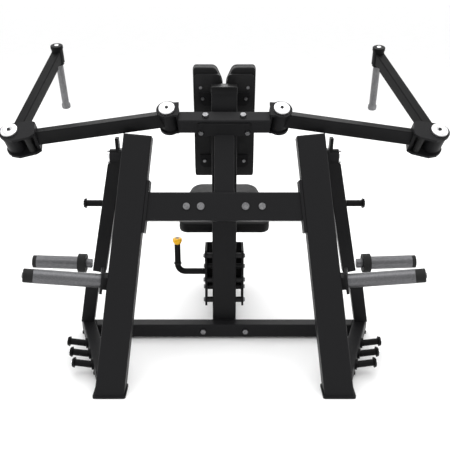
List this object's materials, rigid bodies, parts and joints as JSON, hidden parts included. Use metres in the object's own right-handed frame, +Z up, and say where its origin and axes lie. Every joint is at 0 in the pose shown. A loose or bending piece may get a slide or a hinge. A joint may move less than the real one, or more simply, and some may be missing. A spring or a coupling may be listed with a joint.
{
  "type": "lat pulldown machine",
  "caption": "Plate-loaded dual-arm strength machine with leaning posts, articulated arms with hanging handles, weight horns, split back pad and height-adjustable seat.",
  "frame": {"origin": "on the floor, under the middle of the machine's outer box", "axes": "+Z up, +Y from the rear posts towards the seat, +X to the right seen from the rear"},
  "size_m": [1.577, 1.061, 1.1049],
  "materials": {
    "powder_coat": "satin black powder coat",
    "chrome": "polished chrome",
    "zinc": "zinc-plated",
    "sleeve": "grey satin sleeve",
    "rubber": "moulded black rubber",
    "plastic": "moulded black plastic",
    "grip": "ribbed grey rubber",
    "upholstery": "black vinyl, stitched",
    "knob": "yellow"
  },
  "bodies": {
    "root": {"back_pad_left": "upholstery", "back_pad_right": "upholstery", "base_band_pegs": "powder_coat", "base_crossbar": "powder_coat", "beam_end_plates": "powder_coat", "bolts_and_screws": "zinc", "center_rail": "powder_coat", "center_strut": "powder_coat", "column_gussets": "powder_coat", "column_top_cap": "powder_coat", "crossbar_bracket": "powder_coat", "front_post_left": "powder_coat", "front_post_right": "powder_coat", "knuckle_clevises": "powder_coat", "knuckle_pins": "chrome", "lever_pivot_brackets": "powder_coat", "lever_pivot_pins": "chrome", "main_column": "powder_coat", "pad_boards": "plastic", "pad_mounts": "powder_coat", "post_foot_plates": "powder_coat", "rubber_feet": "rubber", "side_rail_left": "powder_coat", "side_rail_right": "powder_coat", "storage_brackets": "powder_coat", "storage_horn_caps": "rubber", "storage_horns": "sleeve", "stub_uprights": "powder_coat", "top_crossbar": "powder_coat", "tube_end_caps": "plastic", "upper_beam": "powder_coat"},
    "arm_left": {"arm_left": "powder_coat", "elbow_bracket_left": "powder_coat", "elbow_bumpers_left": "rubber", "elbow_pin_left": "chrome"},
    "arm_right": {"arm_right": "powder_coat", "elbow_bracket_right": "powder_coat", "elbow_bumpers_right": "rubber", "elbow_pin_right": "chrome"},
    "forearm_left": {"forearm_left": "powder_coat"},
    "forearm_right": {"forearm_right": "powder_coat"},
    "handle_left": {"handle_grip_left": "grip", "handle_stem_left": "powder_coat"},
    "handle_right": {"handle_grip_right": "grip", "handle_stem_right": "powder_coat"},
    "lever_left": {"lever_horn_ends_left": "rubber", "lever_horn_left": "sleeve", "lever_peg_left": "powder_coat", "weight_lever_left": "powder_coat"},
    "lever_right": {"lever_horn_ends_right": "rubber", "lever_horn_right": "sleeve", "lever_peg_right": "powder_coat", "weight_lever_right": "powder_coat"},
    "seat": {"carriage_bolts": "zinc", "carriage_glides": "plastic", "seat_carriage": "powder_coat", "seat_pad": "upholstery", "seat_plate": "powder_coat"},
    "release": {"release_knob": "knob", "release_lever": "powder_coat"}
  },
  "joints": [
    {"name": "arm_swing_left", "type": "hinge", "parent": "root", "child": "arm_left", "pos_m": [-0.197, -0.09754, 0.872], "axis": [0.0777, 0.5798, -0.8111], "range_deg": [0, 25]},
    {"name": "arm_swing_right", "type": "hinge", "parent": "root", "child": "arm_right", "pos_m": [0.197, -0.09754, 0.872], "axis": [0.0777, -0.5798, 0.8111], "range_deg": [0, 25]},
    {"name": "elbow_left", "type": "hinge", "parent": "arm_left", "child": "forearm_left", "pos_m": [-0.747, -0.12454, 0.8], "axis": [-0.0777, -0.5798, 0.8111], "range_deg": [-15, 60]},
    {"name": "elbow_right", "type": "hinge", "parent": "arm_right", "child": "forearm_right", "pos_m": [0.747, -0.12454, 0.8], "axis": [-0.0777, 0.5798, -0.8111], "range_deg": [-9, 60]},
    {"name": "handle_spin_left", "type": "hinge", "parent": "forearm_left", "child": "handle_left", "pos_m": [-0.652, 0.22646, 1.06], "axis": [0, 0.3, -0.9539], "continuous": true},
    {"name": "handle_spin_right", "type": "hinge", "parent": "forearm_right", "child": "handle_right", "pos_m": [0.59964, 0.21199, 1.05467], "axis": [0.0372, 0.3109, -0.9497], "continuous": true},
    {"name": "lever_swing_left", "type": "hinge", "parent": "root", "child": "lever_left", "pos_m": [-0.392, -0.10154, 0.735], "axis": [1, 0, 0], "range_deg": [0, 30]},
    {"name": "lever_swing_right", "type": "hinge", "parent": "root", "child": "lever_right", "pos_m": [0.392, -0.10154, 0.735], "axis": [1, 0, 0], "range_deg": [0, 30]},
    {"name": "seat_height", "type": "slide", "parent": "root", "child": "seat", "axis": [0, 0, 1], "range_m": [0, 0.12]},
    {"name": "release_pull", "type": "hinge", "parent": "seat", "child": "release", "pos_m": [-0.0764, -0.01954, 0.245], "axis": [-1, 0, 0], "range_deg": [0, 20], "stiffness_Nm_per_rad": 4, "springref_deg": -8.59}
  ],
  "couplings": [
    {"joint": "lever_swing_left", "follows": "arm_swing_left", "ratio": 1.2},
    {"joint": "lever_swing_right", "follows": "arm_swing_right", "ratio": 1.2}
  ]
}
